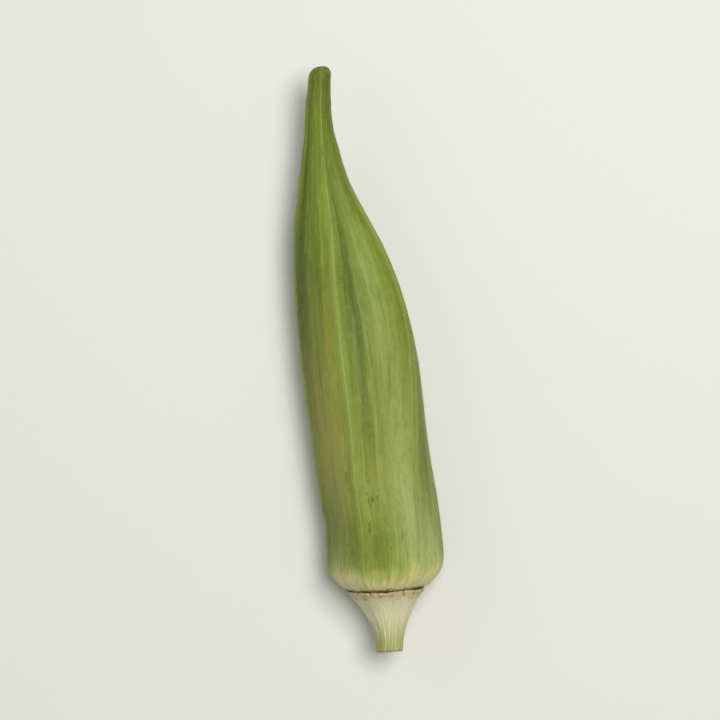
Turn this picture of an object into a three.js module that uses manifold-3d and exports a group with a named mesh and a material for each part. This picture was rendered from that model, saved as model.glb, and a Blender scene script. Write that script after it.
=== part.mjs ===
// An okra pod as picked, lying on two of its five ribs, with the cut stub of its stem.
// Millimetres. +Z is up, +Y runs from the stem to the tip, and the pod rests on z = 0.
import * as THREE from 'three';
import { mergeVertices } from 'three/addons/utils/BufferGeometryUtils.js';
import Module from 'manifold-3d';

const wasm = await Module();
wasm.setup();

// Driving dimensions. "along" is the distance from the pod's shoulder towards its tip.
const podLength = 105.4;
const capLength = 11.3;
const shoulderRound = 7.4;
const tipRound = 2.4;
const endFullness = 2.3;
const jointGap = 0.3;

// Half of the pod's width seen from above, at each distance along.
const halfWidths = [
  [7.4, 11.7], [15, 11.5], [30, 11.55], [44.6, 11.75], [56.6, 11.0], [68.7, 9.15],
  [80.7, 5.6], [87, 4.1], [92.8, 3.0], [98.8, 2.6], [103, 2.35],
];
// How far the middle of that width drifts to +X: the pod bends a little, like a shallow S.
const sideDrifts = [
  [0, -0.3], [8.4, 0.45], [14.5, 0.75], [26, 0.25], [45, 0.2], [60, -0.5], [75, -1.9],
  [84, -2.3], [96, -1.6], [105.4, 0],
];
// Height of the pod's spine over the floor. The beak lifts off the floor.
const spineHeights = [[0, 9.98], [45, 10.11], [75, 10.75], [105.4, 12.9]];
// Height of the narrow raised line on each rib, as a share of the ribs' reach.
const crestHeights = [[0, 0], [8, 0.022], [50, 0.028], [80, 0.04], [95, 0.05], [105.4, 0.03]];
const crestHalfAngle = 5.5;
// A face bends in quickly beside its ribs and is flatter in the middle.
const ribRoundness = 0.3;
const faceFlatness = 2.1;
// The shoulder's end is not quite square to the pod, as far along as the slant reaches.
const shoulderSlant = 0.07;
const slantReach = 20;

// The five ribs. angles are in degrees from straight up towards +X, at each distance along.
// faceDepths are how deep the face that follows the rib sinks, as a share of the ribs' reach,
// and faceDeepest is where, as a share of the way to the next rib. The face between the two
// lowest ribs is hollow, so that the pod rests on those ribs.
const ribs = [
  {
    angles: [[0, -92], [60, -90], [90, -84]],
    reach: 1.0,
    faceDeepest: 0.46,
    faceDepths: [[0, 0], [6, 0.06], [45, 0.07], [65, 0.1], [80, 0.16], [95, 0.18], [105.4, 0.12]],
  },
  {
    angles: [
      [0, -24], [18, -24], [32, -20], [48, -18.5], [56, -16], [63, -12.5], [74, -2], [84, 4],
      [94, 8], [105.4, 8],
    ],
    reach: 1.0,
    faceDeepest: 0.22,
    faceDepths: [[0, 0], [6, 0.1], [25, 0.12], [45, 0.19], [65, 0.23], [90, 0.2], [105.4, 0.12]],
  },
  {
    angles: [[0, 34], [18, 36], [30, 43], [42, 52], [56, 62], [75, 64], [90, 56], [105.4, 54]],
    reach: 0.98,
    faceDeepest: 0.5,
    faceDepths: [[0, 0], [6, 0.09], [50, 0.11], [75, 0.18], [95, 0.2], [105.4, 0.12]],
  },
  {
    angles: [[0, 139], [50, 139], [90, 144]],
    reach: 1.05,
    faceDeepest: 0.5,
    faceDepths: [[0, 0], [6, 0.2], [18, 0.27], [92, 0.25], [105.4, 0.12]],
  },
  {
    angles: [[0, 210], [90, 214]],
    reach: 0.94,
    faceDeepest: 0.5,
    faceDepths: [[0, 0], [6, 0.09], [45, 0.12], [70, 0.18], [92, 0.2], [105.4, 0.12]],
  },
];

// The stem cap: radius at each distance from the shoulder towards the cut end.
const flangeRadius = 7.4;
const flangeThickness = 0.9;
const capOutline = [
  [0.2, 6.95], [1, 6.2], [2.2, 5.3], [3.7, 4.45], [5.4, 3.7], [7.2, 3.1], [9.2, 2.7],
  [11, 2.6], [11.3, 2.5],
];
const stalkDrift = new THREE.Vector3(-0.9, 0, 0.7);
const stalkStart = 7;
const stalkCutSlant = 0.13;
const capLobes = 5;
const capLobeHeight = 0.035;

// How finely the surfaces are divided.
const stepsPerFace = 11;
const stepBunching = 0.1;
const bodyStep = 2.5;
const endSteps = 7;
const capAround = 40;

// A smooth curve through [place, value] points, level beyond both ends.
function smoothThrough(points) {
  const slopeAt = (index) => {
    const before = points[Math.max(index - 1, 0)];
    const after = points[Math.min(index + 1, points.length - 1)];
    return (after[1] - before[1]) / (after[0] - before[0]);
  };
  return (place) => {
    const inside = THREE.MathUtils.clamp(place, points[0][0], points[points.length - 1][0]);
    let index = 0;
    while (index < points.length - 2 && inside > points[index + 1][0]) index += 1;
    const [startPlace, startValue] = points[index];
    const [endPlace, endValue] = points[index + 1];
    const span = endPlace - startPlace;
    const t = (inside - startPlace) / span;
    const startPull = slopeAt(index) * span;
    const endPull = slopeAt(index + 1) * span;
    const rise = endValue - startValue;
    return startValue + startPull * t + (3 * rise - 2 * startPull - endPull) * t * t
      + (startPull + endPull - 2 * rise) * t * t * t;
  };
}

const halfWidthAt = smoothThrough(halfWidths);
const sideDriftAt = smoothThrough(sideDrifts);
const spineHeightAt = smoothThrough(spineHeights);
const crestHeightAt = smoothThrough(crestHeights);
const ribAnglesAt = ribs.map((rib) => smoothThrough(rib.angles));
const faceDepthsAt = ribs.map((rib) => smoothThrough(rib.faceDepths));

// How much of its full width the pod has left, as it rounds off at the shoulder and the tip.
function endRounding(along) {
  const intoShoulder = THREE.MathUtils.clamp(1 - along / shoulderRound, 0, 1);
  const intoTip = THREE.MathUtils.clamp(1 - (podLength - along) / tipRound, 0, 1);
  const into = Math.max(intoShoulder, intoTip);
  return (1 - into ** endFullness) ** (1 / endFullness);
}

// One point of the pod's section: the angle round the spine, and the reach with the ribs at 1.
function sectionPoint(along, ribIndex, share) {
  const rib = ribs[ribIndex];
  const nextIndex = (ribIndex + 1) % ribs.length;
  const ribAngle = ribAnglesAt[ribIndex](along);
  const spread = (ribAnglesAt[nextIndex](along) - ribAngle + 360) % 360;
  const warp = Math.log(0.5) / Math.log(rib.faceDeepest);
  const across = 2 * Math.min(share ** warp, 1 - share ** warp);
  const rounded = (Math.hypot(across, ribRoundness) - ribRoundness)
    / (Math.hypot(1, ribRoundness) - ribRoundness);
  const sink = faceDepthsAt[ribIndex](along) * (1 - (1 - rounded) ** faceFlatness);
  const blend = THREE.MathUtils.smoothstep(share, 0, 1);
  const fromRib = Math.min(share, 1 - share) * spread;
  const crest = crestHeightAt(along) * Math.exp(-((fromRib / crestHalfAngle) ** 2));
  return {
    angle: THREE.MathUtils.degToRad(ribAngle + share * spread),
    reach: THREE.MathUtils.lerp(rib.reach, ribs[nextIndex].reach, blend) * (1 - sink) + crest,
  };
}

// The whole section as points, closer together near the ribs.
function sectionPoints(along) {
  const points = [];
  for (let ribIndex = 0; ribIndex < ribs.length; ribIndex += 1) {
    for (let step = 0; step < stepsPerFace; step += 1) {
      const even = step / stepsPerFace;
      const share = even - stepBunching * Math.sin(2 * Math.PI * even);
      points.push(sectionPoint(along, ribIndex, share));
    }
  }
  return points;
}

// One ring of the pod, scaled and placed so that its width seen from above is the given one.
function podRing(along) {
  const section = sectionPoints(along);
  const sides = section.map(({ angle, reach }) => reach * Math.sin(angle));
  const left = Math.min(...sides);
  const right = Math.max(...sides);
  const scale = (2 * halfWidthAt(along) * endRounding(along)) / (right - left);
  const middle = (left + right) / 2;
  const slant = shoulderSlant * (1 - THREE.MathUtils.smoothstep(along, 0, slantReach));
  return section.map(({ angle, reach }) => {
    const side = scale * (reach * Math.sin(angle) - middle);
    const height = spineHeightAt(along) + scale * reach * Math.cos(angle);
    return new THREE.Vector3(sideDriftAt(along) + side, along - slant * side, height);
  });
}

// The distances along at which the pod has a ring, closer together where it rounds off.
function podStations() {
  const stations = [];
  for (let step = 1; step < endSteps; step += 1) {
    stations.push(shoulderRound * (1 - Math.cos((step / endSteps) * Math.PI / 2)));
  }
  const bodyEnd = podLength - tipRound;
  const bodySteps = Math.round((bodyEnd - shoulderRound) / bodyStep);
  for (let step = 0; step <= bodySteps; step += 1) {
    stations.push(THREE.MathUtils.lerp(shoulderRound, bodyEnd, step / bodySteps));
  }
  for (let step = 1; step < endSteps - 2; step += 1) {
    stations.push(bodyEnd + tipRound * Math.sin((step / (endSteps - 2)) * Math.PI / 2));
  }
  return stations;
}

// A closed surface over rings of points in order, with a point to close each end.
function ringedSolid(startPoint, rings, endPoint) {
  const around = rings[0].length;
  const vertices = [startPoint, ...rings.flat(), endPoint];
  const last = vertices.length - 1;
  const faces = [];
  for (let index = 0; index < around; index += 1) {
    const next = (index + 1) % around;
    faces.push(0, 1 + next, 1 + index);
    for (let ring = 0; ring < rings.length - 1; ring += 1) {
      const here = 1 + ring * around;
      const there = here + around;
      faces.push(here + index, here + next, there + index);
      faces.push(here + next, there + next, there + index);
    }
    faces.push(last, last - around + index, last - around + next);
  }
  const geometry = new THREE.BufferGeometry();
  const positions = vertices.flatMap((vertex) => vertex.toArray());
  geometry.setAttribute('position', new THREE.Float32BufferAttribute(positions, 3));
  geometry.setIndex(faces);
  return geometry;
}

function toSolid(geometry) {
  const bare = geometry.clone();
  bare.deleteAttribute('normal');
  bare.deleteAttribute('uv');
  const merged = mergeVertices(bare, 1e-4);
  return new wasm.Manifold(new wasm.Mesh({
    numProp: 3,
    vertProperties: new Float32Array(merged.attributes.position.array),
    triVerts: new Uint32Array(merged.index.array),
  }));
}

function toGeometry(solid) {
  const mesh = solid.getMesh();
  const geometry = new THREE.BufferGeometry();
  geometry.setAttribute('position', new THREE.Float32BufferAttribute(mesh.vertProperties, 3));
  geometry.setIndex(Array.from(mesh.triVerts));
  geometry.computeVertexNormals();
  return geometry;
}

// Everything below the floor is cut away, which leaves small flats on the two lowest ribs.
function cutAtFloor(geometry) {
  const slab = new THREE.BoxGeometry(200, 400, 20);
  slab.translate(0, 0, -10);
  return toGeometry(toSolid(geometry).subtract(toSolid(slab)));
}

function podGeometry() {
  const stem = new THREE.Vector3(sideDriftAt(0), 0, spineHeightAt(0));
  const tip = new THREE.Vector3(sideDriftAt(podLength), podLength, spineHeightAt(podLength));
  return cutAtFloor(ringedSolid(stem, podStations().map(podRing), tip));
}

// How far along the pod's rounded shoulder is, at a radius from the spine.
function shoulderAlong(radius) {
  const share = Math.min(radius / halfWidths[0][1], 1);
  return shoulderRound * (1 - (1 - share ** endFullness) ** (1 / endFullness));
}

// One ring of the cap, at a radius and a distance from the shoulder towards the cut end.
function capRing(radius, distance, lobeHeight, slant) {
  const bend = Math.max(distance / capLength, 0) ** 2;
  const ring = [];
  for (let index = 0; index < capAround; index += 1) {
    const angle = (index / capAround) * 2 * Math.PI;
    const lobe = Math.cos(capLobes * (angle - THREE.MathUtils.degToRad(ribAnglesAt[0](0))));
    const reach = radius * (1 + lobeHeight * lobe);
    const side = stalkDrift.x * bend + reach * Math.sin(angle);
    ring.push(new THREE.Vector3(
      sideDriftAt(0) + side,
      slant * reach * Math.cos(angle) - shoulderSlant * side - distance,
      spineHeightAt(0) + stalkDrift.z * bend + reach * Math.cos(angle),
    ));
  }
  return ring;
}

// The cap's dished underside follows the shoulder, and its cone narrows to the cut stalk.
function capGeometry() {
  const rings = [];
  for (const [distance, radius] of [...capOutline].reverse()) {
    const slant = (stalkCutSlant * Math.max(distance - stalkStart, 0)) / (capLength - stalkStart);
    rings.push(capRing(radius, distance, capLobeHeight, slant));
  }
  const rimDistance = jointGap - shoulderAlong(flangeRadius);
  rings.push(capRing(0.99 * flangeRadius, rimDistance + flangeThickness, capLobeHeight, 0));
  rings.push(capRing(flangeRadius, rimDistance + flangeThickness / 2, capLobeHeight, 0));
  for (const share of [0.98, 0.8, 0.5, 0.2]) {
    const radius = share * flangeRadius;
    rings.push(capRing(radius, jointGap - shoulderAlong(radius), 0, 0));
  }
  const cutEnd = capRing(0, capLength, 0, 0)[0];
  const seat = capRing(0, jointGap, 0, 0)[0];
  return cutAtFloor(ringedSolid(cutEnd, rings, seat));
}

function namedMesh(name, geometry, color, roughness) {
  const material = new THREE.MeshStandardMaterial({ color, roughness, metalness: 0 });
  const mesh = new THREE.Mesh(geometry, material);
  mesh.name = name;
  return mesh;
}

const okraPod = new THREE.Group();
okraPod.add(namedMesh('pod', podGeometry(), 0x7e8d45, 0.6));
okraPod.add(namedMesh('stem_cap', capGeometry(), 0xc5c28f, 0.75));

// The origin is under the middle of the whole pod.
const middle = new THREE.Box3().setFromObject(okraPod).getCenter(new THREE.Vector3());
okraPod.position.set(-middle.x, -middle.y, 0);

export default okraPod;
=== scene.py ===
# An okra pod, dressed for its render: the ribbed green skin with its veins and down, and the cream
# stem cap with its brown scar and cut stalk, on a plain pale floor in soft daylight.
import math

import bpy
import numpy as np
from mathutils import Matrix, Vector


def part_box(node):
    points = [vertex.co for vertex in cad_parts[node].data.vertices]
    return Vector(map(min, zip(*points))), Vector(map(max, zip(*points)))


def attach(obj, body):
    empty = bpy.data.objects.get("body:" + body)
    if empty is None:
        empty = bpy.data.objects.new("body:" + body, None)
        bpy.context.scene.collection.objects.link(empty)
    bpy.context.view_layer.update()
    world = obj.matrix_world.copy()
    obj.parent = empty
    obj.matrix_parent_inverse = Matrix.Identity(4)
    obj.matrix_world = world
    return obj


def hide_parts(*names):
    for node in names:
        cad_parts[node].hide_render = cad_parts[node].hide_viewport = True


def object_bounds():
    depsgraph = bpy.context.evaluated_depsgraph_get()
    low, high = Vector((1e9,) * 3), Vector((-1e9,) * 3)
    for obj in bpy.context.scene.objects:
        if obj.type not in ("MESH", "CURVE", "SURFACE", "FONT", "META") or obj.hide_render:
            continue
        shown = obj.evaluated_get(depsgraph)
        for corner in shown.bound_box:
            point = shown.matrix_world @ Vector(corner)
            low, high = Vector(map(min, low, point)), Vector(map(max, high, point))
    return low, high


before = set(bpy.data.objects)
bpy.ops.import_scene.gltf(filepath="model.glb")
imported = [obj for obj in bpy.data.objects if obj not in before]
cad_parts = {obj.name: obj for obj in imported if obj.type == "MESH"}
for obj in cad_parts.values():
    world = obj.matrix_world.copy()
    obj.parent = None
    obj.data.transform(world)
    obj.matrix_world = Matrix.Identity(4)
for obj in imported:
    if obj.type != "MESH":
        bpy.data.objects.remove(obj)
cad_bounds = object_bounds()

MM = 0.001
# The shortest length that a direction is taken from, and the side of the noise's table.
SHORTEST = 1e-12
NOISE_SIDE = 32

# ------------------------ the pod's form, in millimetres
# These are the driving dimensions of the solid. "Along" is the distance from the shoulder
# towards the tip, and angles run from straight up towards +X.
POD_LENGTH = 105.4
SHOULDER_ROUND = 7.4
TIP_ROUND = 2.4
END_FULLNESS = 2.3
HALF_WIDTHS = [
    (7.4, 11.7), (15, 11.5), (30, 11.55), (44.6, 11.75), (56.6, 11.0), (68.7, 9.15),
    (80.7, 5.6), (87, 4.1), (92.8, 3.0), (98.8, 2.6), (103, 2.35),
]
SIDE_DRIFTS = [
    (0, -0.3), (8.4, 0.45), (14.5, 0.75), (26, 0.25), (45, 0.2), (60, -0.5), (75, -1.9),
    (84, -2.3), (96, -1.6), (105.4, 0),
]
SPINE_HEIGHTS = [(0, 9.98), (45, 10.11), (75, 10.75), (105.4, 12.9)]
CREST_HEIGHTS = [(0, 0), (8, 0.022), (50, 0.028), (80, 0.04), (95, 0.05), (105.4, 0.03)]
CREST_HALF_ANGLE = 5.5
RIB_ROUNDNESS = 0.3
FACE_FLATNESS = 2.1
SHOULDER_SLANT = 0.07
SLANT_REACH = 20
# Each rib's angle along the pod, its reach, and where and how deep the face after it sinks.
RIBS = [
    {
        "angles": [(0, -92), (60, -90), (90, -84)],
        "reach": 1.0,
        "deepest": 0.46,
        "depths": [(0, 0), (6, 0.06), (45, 0.07), (65, 0.1), (80, 0.16), (95, 0.18), (105.4, 0.12)],
    },
    {
        "angles": [
            (0, -24), (18, -24), (32, -20), (48, -18.5), (56, -16), (63, -12.5), (74, -2), (84, 4),
            (94, 8), (105.4, 8),
        ],
        "reach": 1.0,
        "deepest": 0.22,
        "depths": [(0, 0), (6, 0.1), (25, 0.12), (45, 0.19), (65, 0.23), (90, 0.2), (105.4, 0.12)],
    },
    {
        "angles": [(0, 34), (18, 36), (30, 43), (42, 52), (56, 62), (75, 64), (90, 56), (105.4, 54)],
        "reach": 0.98,
        "deepest": 0.5,
        "depths": [(0, 0), (6, 0.09), (50, 0.11), (75, 0.18), (95, 0.2), (105.4, 0.12)],
    },
    {
        "angles": [(0, 139), (50, 139), (90, 144)],
        "reach": 1.05,
        "deepest": 0.5,
        "depths": [(0, 0), (6, 0.2), (18, 0.27), (92, 0.25), (105.4, 0.12)],
    },
    {
        "angles": [(0, 210), (90, 214)],
        "reach": 0.94,
        "deepest": 0.5,
        "depths": [(0, 0), (6, 0.09), (45, 0.12), (70, 0.18), (92, 0.2), (105.4, 0.12)],
    },
]
# The face that lies underneath, and how far along the belly is.
LOWEST_FACE = 3
BELLY = 45.0

# How finely the skin is divided, and the radius of the round bar that its noise is laid on.
SKIN_COLUMNS = 264
STEP_BUNCHING = 0.05
BODY_ROWS = 318
SHOULDER_ROWS = 30
TIP_ROWS = 14
NOISE_RADIUS = 11.0
# The rounded ends stop just short of closing: the first and last row, as shares of a quarter turn.
FIRST_ROW = 0.06
LAST_ROW = 0.96

# A rib's markings reach this many degrees from its crest, and further towards the tip.
RIB_HALF_ANGLE = 7.0
RIB_SPREAD = 1.3
RIB_SPREADS = (58, 94)

# Each layer of the skin's relief: its height, the size of its lumps across, across and along the
# pod, and its noise's seed. The whole relief is set back, to stay close to the solid. It sets in
# between two distances from the shoulder, and between two from the tip.
SKIN_LUMPS = [(0.17, (7, 7, 11), 1), (0.07, (2.8, 2.8, 5), 2)]
SKIN_VEINS = (0.075, (1.7, 1.7, 30), 3)
VEIN_SHARPNESS = 4
SKIN_GRAIN = [(0.03, (0.75, 0.75, 6), 4)]
RIB_WARTS = [(0.08, (0.9, 0.9, 2.4), 5), (0.05, (0.8, 0.8, 0.9), 6)]
SKIN_SETBACK = 0.09
SHOULDER_FADE = (1.0, 4.0)
TIP_FADE = (0.3, 3.0)

# ------------------------ the stem cap, in millimetres
# Distance runs from the shoulder towards the cut end of the stalk.
CAP_LENGTH = 11.3
CAP_OUTLINE = [
    (-0.57, 5.8), (-0.83, 6.6), (-1.05, 7.2), (-1.08, 7.5), (-0.8, 7.62), (-0.4, 7.4),
    (-0.1, 7.1), (0.2, 6.9), (1.0, 6.2), (2.2, 5.3), (3.7, 4.45), (5.4, 3.7), (7.2, 3.1),
    (9.2, 2.7), (10.8, 2.6), (11.2, 2.52), (11.3, 2.3), (11.22, 2.0), (11.28, 1.75),
    (11.15, 1.3), (11.02, 0.7), (11.0, 0.02),
]
STALK_DRIFT = (-0.9, 0.7)
STALK_START = 7.0
STALK_CUT_SLANT = 0.13
# The lobes leave out the cut end, inside this radius.
CUT_RADIUS = 2.2
CAP_LOBES = 5
CAP_LOBE_HEIGHT = 0.035
CAP_COLUMNS = 180
CAP_ROWS = 190
CAP_NOISE_RADIUS = 6.0
# Where the torn lip and the fibrous cone are, and their layers of relief, as the skin's.
LIP_DISTANCE = -0.9
LIP_WIDTH = 0.5
LIP_RADII = (6.0, 6.9)
LIP_ROUGHNESS = [(0.18, (1.3, 1.3, 50), 21), (0.126, (0.45, 0.45, 50), 22)]
LIP_WAVES = [(0.16, (1.6, 1.6, 50), 27)]
TEARS = [(1.0, (0.9, 0.9, 50), 23)]
TEARS_BETWEEN = (0.35, 0.7)
TEAR_DEPTH = 0.5
TEAR_LIFT = 0.25
CONE_DISTANCES = (-0.2, 0.8)
CONE_RADII = (2.0, 2.4)
CONE_FIBRES = [(0.10, (0.55, 0.55, 7), 24), (0.05, (0.25, 0.25, 5), 25), (0.12, (2.5, 2.5, 3.5), 26)]

# ------------------------ down and shreds, in millimetres
# How far each small solid reaches from the middle of its own square in the bake's map.
MAP_FILLED = 0.4
# Two coats of hairs. They lean along the pod towards its tip, and on the cap away from its cut.
POD_DOWN = {
    "name": "pod_down", "slot": "pod_skin", "count": 30000, "lengths": (0.16, 0.44), "lean": 0.75,
    "seed": 51,
}
CAP_DOWN = {
    "name": "cap_down", "slot": "stem_cap", "count": 2000, "lengths": (0.12, 0.34), "lean": -0.4,
    "seed": 52,
}
HAIR_RISE = 0.8
HAIR_STRAY = 0.22
HAIR_SIDES = 3
HAIR_RADII = (0.009, 0.018)
HAIR_ROOT_DEPTH = 0.03
# Keeps a hair's own side from vanishing where the hair stands straight up.
HAIR_NUDGE = 1e-6
# The pod's hairs start beyond the shreds and crowd on the ribs. The cap's stay off its lip and cut.
POD_HAIRS_FROM = (1.5, 3.5)
HAIRS_OFF_RIBS = 0.3
CAP_HAIRS_FROM = (0.5, 3.0)
CAP_HAIR_RADII = (2.0, 2.5)

SHRED_COUNT = 110
SHRED_SEED = 71
SHRED_ALONG = (1.15, 1.75)
SHRED_STATIONS = 6
SHRED_LENGTHS = (0.5, 1.9)
SHRED_WIDTHS = (0.08, 0.26)
SHRED_THICKNESS = 0.03
SHRED_ROOT_DEPTH = 0.02
SHRED_WOBBLE = 0.15
# How far shreds turn off the lip's line, in radians, and their least and most bend, curl and twist.
SHRED_TURN = 0.5
SHRED_LEAST = (-0.5, 0.0, -0.7)
SHRED_MOST = (0.5, 0.3, 0.7)
# What a shred loses of its half width towards its ends, and how late.
SHRED_TAPER = 0.42
SHRED_TAPER_POWER = 2.2

# ------------------------ colours, as seen in daylight
def srgb(red, green, blue):
    """A colour of 0 to 255 in sRGB as linear red, green, blue and alpha."""
    shares = np.array([red, green, blue]) / 255
    linear = np.where(shares <= 0.04045, shares / 12.92, ((shares + 0.055) / 1.055) ** 2.4)
    return (*linear.tolist(), 1.0)


# The skin's ground colour from the shoulder (0) to the tip (1).
SKIN_ALONG = [
    (0.0, srgb(150, 156, 70)), (0.07, srgb(128, 138, 48)), (0.11, srgb(118, 129, 42)),
    (0.17, srgb(130, 141, 52)), (0.25, srgb(136, 147, 58)), (0.42, srgb(134, 147, 58)),
    (0.62, srgb(128, 145, 50)), (0.8, srgb(118, 138, 38)), (0.92, srgb(110, 125, 26)),
    (0.985, srgb(98, 110, 26)), (1.0, srgb(106, 112, 40)),
]
CREAM = srgb(224, 215, 160)
CREAM_GREEN = srgb(190, 192, 108)
# The ribs' lighter green, partly a painted highlight.
RIB_GREEN_AND_HIGHLIGHT = srgb(144, 164, 82)
# Painted shade for the valleys between the ribs.
VALLEY_SHADE = srgb(90, 114, 30)
# Deep olive for the broad blotches, and for the deep patches, which are partly painted shade.
DEEP_OLIVE_AND_SHADE = srgb(88, 99, 24)
# The deep patches' painted shade also multiplies the colour by this.
DEEP_AND_SHADE_TINT = srgb(184, 192, 122)
FRESH_GREEN = srgb(134, 156, 50)
# Pale patches, partly paler skin and partly painted light.
PALE_AND_LIT_GREEN = srgb(172, 184, 118)
RIPE = srgb(160, 156, 62)
STREAK_LIGHT = srgb(166, 179, 102)
STREAK_DARK = srgb(84, 102, 26)
TAN = srgb(158, 147, 64)
BRUISE = srgb(72, 76, 28)
SPECK = srgb(70, 80, 28)
DOWN_DOT = srgb(180, 190, 124)
SCAR = srgb(112, 88, 48)
TIP_SCAR = srgb(130, 120, 70)
# The cap's ground colour from its lip (0) to its cut end (1).
CAP_ALONG = [
    (0.0, srgb(176, 158, 112)), (0.09, srgb(200, 186, 140)), (0.17, srgb(218, 212, 174)),
    (0.42, srgb(216, 212, 170)), (0.62, srgb(196, 194, 138)), (0.8, srgb(166, 168, 100)),
    (0.96, srgb(156, 158, 92)), (1.0, srgb(150, 142, 84)),
]
CAP_FIBRE_LIGHT = srgb(232, 228, 200)
CAP_FIBRE_DARK = srgb(168, 156, 106)
CUT_FLESH = srgb(198, 200, 150)
CUT_RING = srgb(140, 146, 84)
PITH = srgb(222, 220, 186)
DOWN_SHADES = [srgb(176, 188, 96), srgb(216, 222, 152)]
DOWN_ROUGHNESS = 0.6
SHRED_SHADES = [srgb(88, 64, 34), srgb(182, 158, 108)]
SHRED_ROUGHNESS = 0.7

# Patches of the skin: angle in degrees, distance along, the half reach of each, and a strength.
SKIN_PATCHES = {
    "tan": [
        (-62, 34, 22, 15, 1.0), (-46, 24, 18, 10, 0.4), (112, 62, 22, 18, 0.6), (-140, 30, 26, 12, 0.5),
        (176, 66, 20, 14, 0.5),
    ],
    # Pale patches: partly paler skin, partly painted light on the right flank and painted glints on the
    # shoulder.
    "pale": [
        (19, 57, 13, 24, 0.3), (40, 20, 16, 18, 0.65), (6, 20, 16, 7, 0.25), (-46, 28, 20, 14, 0.5),
        (64, 8, 22, 9, 0.9), (-50, 3, 40, 4, 0.9), (160, 24, 18, 14, 0.5), (-120, 50, 16, 20, 0.4),
        (120, 80, 16, 12, 0.4), (-64, 8, 18, 6, 0.6), (74, 4, 16, 5, 0.8),
    ],
    "ripe": [
        (-33, 46, 8, 17, 0.75), (-36, 32, 12, 10, 0.5), (-52, 88, 12, 13, 0.35),
        (6, 25, 8, 5, 0.45), (-20, 13, 18, 3, 0.35),
        (154, 52, 12, 20, 0.5), (-132, 38, 16, 20, 0.5), (104, 28, 12, 16, 0.4),
    ],
    # Deep patches: partly deeper green, partly painted shade on the flanks, in the valley beside a rib
    # and at the tip.
    "deeper_green_and_shade": [
        (-5, 62, 7, 20, 1.0), (-80, 59, 23, 28, 1.0), (46, 101, 36, 8, 1.0), (-70, 13, 26, 6, 0.3),
        (-10, 10, 24, 5, 0.35), (60, 58, 17, 25, 0.8), (70, 27, 14, 7, 0.45), (43, 85, 16, 10, 0.9),
        (-160, 76, 18, 18, 0.6), (180, 40, 20, 16, 0.4), (0, 37, 24, 12, 0.35), (-42, 67, 14, 8, 0.35),
        (-72, 80, 5, 15, 0.6),
    ],
    "specks": [(-3, 19.4, 11, 3.4, 1.0), (150, 40, 12, 4, 0.8), (-118, 70, 10, 5, 0.7)],
    "scuffs": [
        (-66, 68, 3.0, 9, 1.0), (-60, 60, 2.4, 5, 0.8), (-20, 88, 5, 4, 0.5), (140, 30, 5, 7, 1.0),
        (140, 74, 4, 6, 0.8), (-146, 50, 5, 8, 0.9), (52, 33, 3, 4, 0.6), (-90, 24, 4, 4, 0.7),
        (-12, 14, 1.5, 1.8, 1.0), (-30, 25, 3, 3, 0.8), (-26, 41, 2, 3, 0.9), (-88, 18, 3, 2.4, 0.75),
    ],
}

# ------------------------ the skin's paint
# Each noise: how many lumps to a millimetre across and along, its detail and its roughness.
SKIN_NOISES = {
    "wander": (0.35, 0.35, 3.0, 0.55), "broad": (0.10, 0.045, 3.0, 0.55),
    "mottle": (0.9, 0.4, 3.0, 0.6), "streak": (0.8, 0.035, 4.0, 0.6),
    "fringe": (1.1, 0.06, 4.0, 0.65), "line": (2.8, 0.11, 3.0, 0.6),
    "scuff": (1.6, 0.22, 4.0, 0.7), "stipple": (1.5, 1.2, 2.0, 0.6),
    "scar": (0.9, 0.9, 3.0, 0.7), "wear": (0.5, 0.2, 3.0, 0.55),
    "grain": (5.0, 0.7, 3.0, 0.6), "pores": (2.6, 2.0, 3.0, 0.55),
}
# Each tint: where it starts and where it is strongest, its strength there, and its colour.
SKIN_TINTS = {
    "broad": [(0.5, 0.72, 0.55, FRESH_GREEN), (0.46, 0.28, 0.45, DEEP_OLIVE_AND_SHADE)],
    # Painted shade: the more a face has sunk between the ribs, the darker it is painted.
    "sink": [(0.06, 0.24, 0.4, VALLEY_SHADE)],
    "mottle": [(0.5, 0.72, 0.22, STREAK_LIGHT), (0.5, 0.28, 0.26, STREAK_DARK)],
    "streak": [(0.52, 0.76, 0.42, STREAK_LIGHT), (0.47, 0.26, 0.36, STREAK_DARK)],
    "edge": [(9.0, 5.8, 0.8, CREAM_GREEN), (6.6, 4.4, 0.8, CREAM)],
    "line": [(0.54, 0.76, 0.3, STREAK_LIGHT), (0.46, 0.27, 0.4, STREAK_DARK)],
    "scuff": [(0.74, 0.88, 0.65, BRUISE)],
    "stipple": [(0.68, 0.78, 0.6, SPECK)],
    "scar": [(2.3, 1.95, 0.8, SCAR)],
    "tip_scar": [(7.0, 3.5, 0.75, TIP_SCAR)],
}
# What the patches of each kind lay over the skin, and how much the deep ones darken it as well. The
# pale patches are partly painted light and the deep ones partly painted shade.
PATCH_TINTS = [("pale", 0.8, PALE_AND_LIT_GREEN), ("ripe", 0.7, RIPE), ("deeper_green_and_shade", 0.6, DEEP_OLIVE_AND_SHADE)]
DEEP_SHADE = 0.6
# How far noise moves what it shifts, in millimetres, and how far pale patches, partly painted light,
# draw the cream in.
SKIN_WANDER = 2.4
FRINGE_LENGTH = 5.0
PALE_AND_LIT_REACH = 2.0
SCAR_WANDER = 1.1
TIP_SCAR_WANDER = 6.0
# The ribs' lighter green, partly a painted highlight, by closeness to the crest, by streak, and by
# where it rises and fades along.
RIDGE_NEAR = (0.25, 0.85, 0.6)
RIDGE_STREAK = (0.2, 0.6)
RIDGE_RISE = (8.0, 45.0, 0.6)
RIDGE_FALL = (70.0, 98.0, 0.55)
RIDGE_LEAST = 0.4
# Tan follows the light streaks, and scuffs and specks crowd in their patches.
TAN_STREAK = (0.25, 0.6, 0.6)
SCUFF_STRENGTH = 0.4
STIPPLE_STRENGTH = 0.17
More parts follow.
